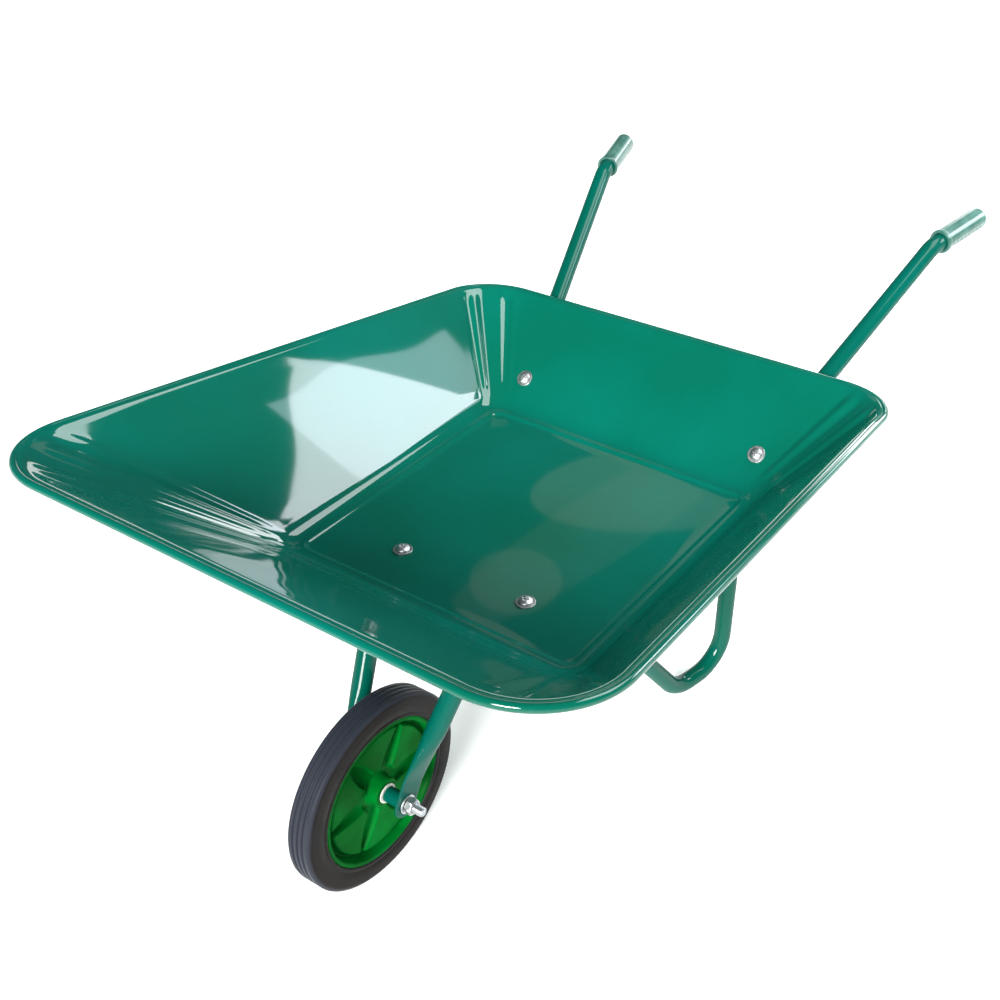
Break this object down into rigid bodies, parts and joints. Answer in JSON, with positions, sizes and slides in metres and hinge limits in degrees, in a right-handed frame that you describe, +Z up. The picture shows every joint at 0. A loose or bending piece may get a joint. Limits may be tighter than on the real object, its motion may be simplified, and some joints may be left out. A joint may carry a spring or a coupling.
{
  "type": "wheelbarrow",
  "caption": "Single-wheel garden wheelbarrow with a pressed steel tray on two bent tubes that form the handles, leg loops and fork; the solid-tyred wheel turns on its axle.",
  "frame": {"origin": "on the ground, midway between the front of the tray's rim and the ends of the grips, on the centre plane", "axes": "+Z up, +Y from the wheel towards the grips, +X to the right seen from in front of the wheel"},
  "size_m": [0.761, 1.2353, 0.6154],
  "materials": {
    "tray_paint": "glossy blue-green enamel",
    "frame_paint": "glossy blue-green enamel",
    "zinc_steel": "bright zinc plating",
    "plain_wire": "plain drawn wire",
    "tyre_rubber": "moulded solid rubber",
    "wheel_plastic": "moulded green plastic",
    "grip_plastic": "soft moulded plastic",
    "bush_nylon": "natural nylon"
  },
  "bodies": {
    "barrow": {"axle": "zinc_steel", "axle_nut_left": "zinc_steel", "axle_nut_right": "zinc_steel", "axle_spacer_left": "frame_paint", "axle_spacer_right": "frame_paint", "axle_washer_left": "zinc_steel", "axle_washer_right": "zinc_steel", "frame_tube_left": "frame_paint", "frame_tube_right": "frame_paint", "grip_left": "grip_plastic", "grip_right": "grip_plastic", "leg_stay": "frame_paint", "rim_wire": "plain_wire", "stay_bolt_left": "zinc_steel", "stay_bolt_right": "zinc_steel", "stay_nut_left": "zinc_steel", "stay_nut_right": "zinc_steel", "tray": "tray_paint", "tray_bolt_front_left": "zinc_steel", "tray_bolt_front_right": "zinc_steel", "tray_bolt_rear_left": "zinc_steel", "tray_bolt_rear_right": "zinc_steel", "tray_nut_front_left": "zinc_steel", "tray_nut_front_right": "zinc_steel", "tray_nut_rear_left": "zinc_steel", "tray_nut_rear_right": "zinc_steel", "tray_washer_front_left": "zinc_steel", "tray_washer_front_right": "zinc_steel", "tray_washer_rear_left": "zinc_steel", "tray_washer_rear_right": "zinc_steel"},
    "wheel": {"hub_bush_left": "bush_nylon", "hub_bush_right": "bush_nylon", "tyre": "tyre_rubber", "wheel_centre": "wheel_plastic"}
  },
  "joints": [
    {"name": "wheel_spin", "type": "hinge", "parent": "barrow", "child": "wheel", "pos_m": [0, -0.45947, 0.13], "axis": [1, 0, 0], "continuous": true}
  ]
}
